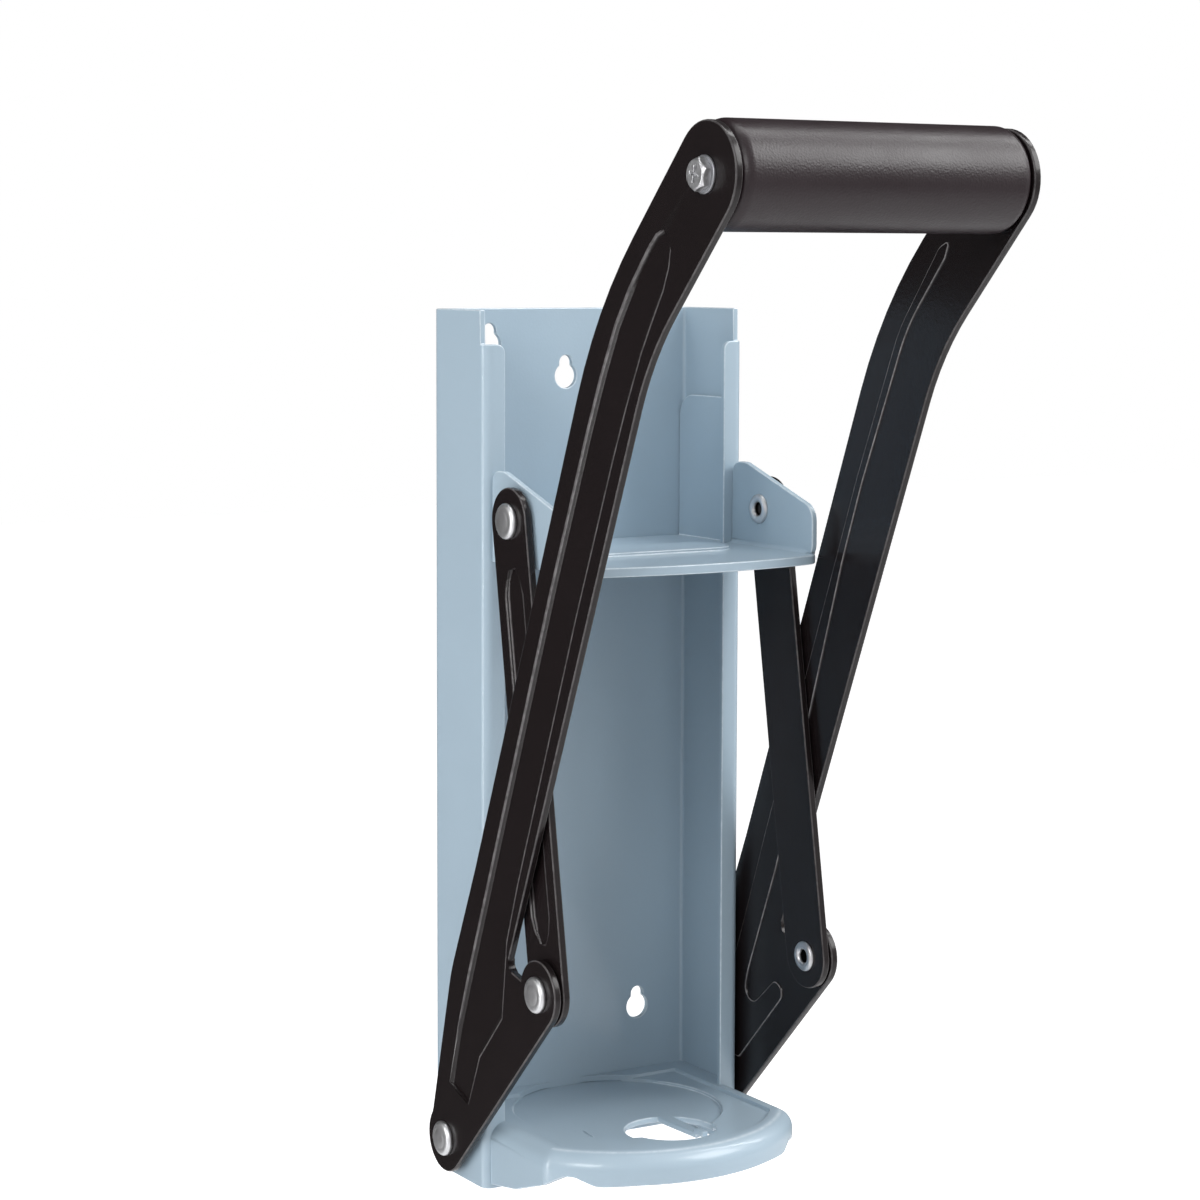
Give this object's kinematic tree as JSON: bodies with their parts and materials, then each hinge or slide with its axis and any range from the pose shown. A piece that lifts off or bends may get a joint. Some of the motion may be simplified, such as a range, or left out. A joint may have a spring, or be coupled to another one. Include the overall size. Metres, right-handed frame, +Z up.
{
  "type": "lever can crusher",
  "caption": "Wall-mounted lever can crusher: folded back channel, base tray with a cap lifter, sliding ram plate, and a two-arm lever with a padded grip and links.",
  "frame": {"origin": "middle of the back channel's lower edge, on the face that lies against the wall", "axes": "+Y out of the back of the channel, into the wall; +Z up along the channel; +X to the user's right, along the grip and the pivots"},
  "size_m": [0.116, 0.1845, 0.344],
  "materials": {
    "body_paint": "light blue-grey powder coat, satin",
    "arm_paint": "black paint, semi-gloss",
    "bright_zinc": "bright zinc plate",
    "dull_zinc": "dull zinc plate",
    "grip_rubber": "dark moulded sleeve, satin"
  },
  "bodies": {
    "frame": {"back_channel": "body_paint", "base_plate": "body_paint", "base_rivet_left": "bright_zinc", "base_rivet_right": "bright_zinc", "base_spacer_left": "dull_zinc", "base_spacer_right": "dull_zinc"},
    "ram": {"ram_plate": "body_paint", "ear_rivet_end_left": "bright_zinc", "ear_rivet_end_right": "bright_zinc"},
    "left_link": {"link_left": "arm_paint", "ear_rivet_left": "bright_zinc", "ear_washer_left": "dull_zinc"},
    "right_link": {"link_right": "arm_paint", "ear_rivet_right": "bright_zinc", "ear_washer_right": "dull_zinc"},
    "lever": {"lever_arm_left": "arm_paint", "lever_arm_right": "arm_paint", "link_rivet_left": "bright_zinc", "link_rivet_right": "bright_zinc", "link_washer_left": "dull_zinc", "link_washer_right": "dull_zinc", "grip_tube": "dull_zinc", "grip_sleeve": "grip_rubber", "grip_screw_left": "bright_zinc", "grip_screw_right": "bright_zinc", "grip_washer_left": "dull_zinc", "grip_washer_right": "dull_zinc"}
  },
  "joints": [
    {"name": "lever_swing", "type": "hinge", "parent": "frame", "child": "lever", "pos_m": [0, -0.015, 0.013], "axis": [1, 0, 0], "range_deg": [0, 115]},
    {"name": "ram_slide", "type": "slide", "parent": "frame", "child": "ram", "axis": [0, 0, -1], "range_m": [0, 0.1408]},
    {"name": "left_link_turn", "type": "hinge", "parent": "lever", "child": "left_link", "pos_m": [-0.0497, -0.07584, 0.07448], "axis": [1, 0, 0], "range_deg": [-103.2, 0]},
    {"name": "right_link_turn", "type": "hinge", "parent": "lever", "child": "right_link", "pos_m": [0.0497, -0.07584, 0.07448], "axis": [1, 0, 0], "range_deg": [-103.2, 0]}
  ],
  "couplings": [
    {"joint": "ram_slide", "follows": "lever_swing", "m_per_rad": 0.070136},
    {"joint": "left_link_turn", "follows": "lever_swing", "ratio": -0.89653},
    {"joint": "right_link_turn", "follows": "lever_swing", "ratio": -0.89653}
  ]
}
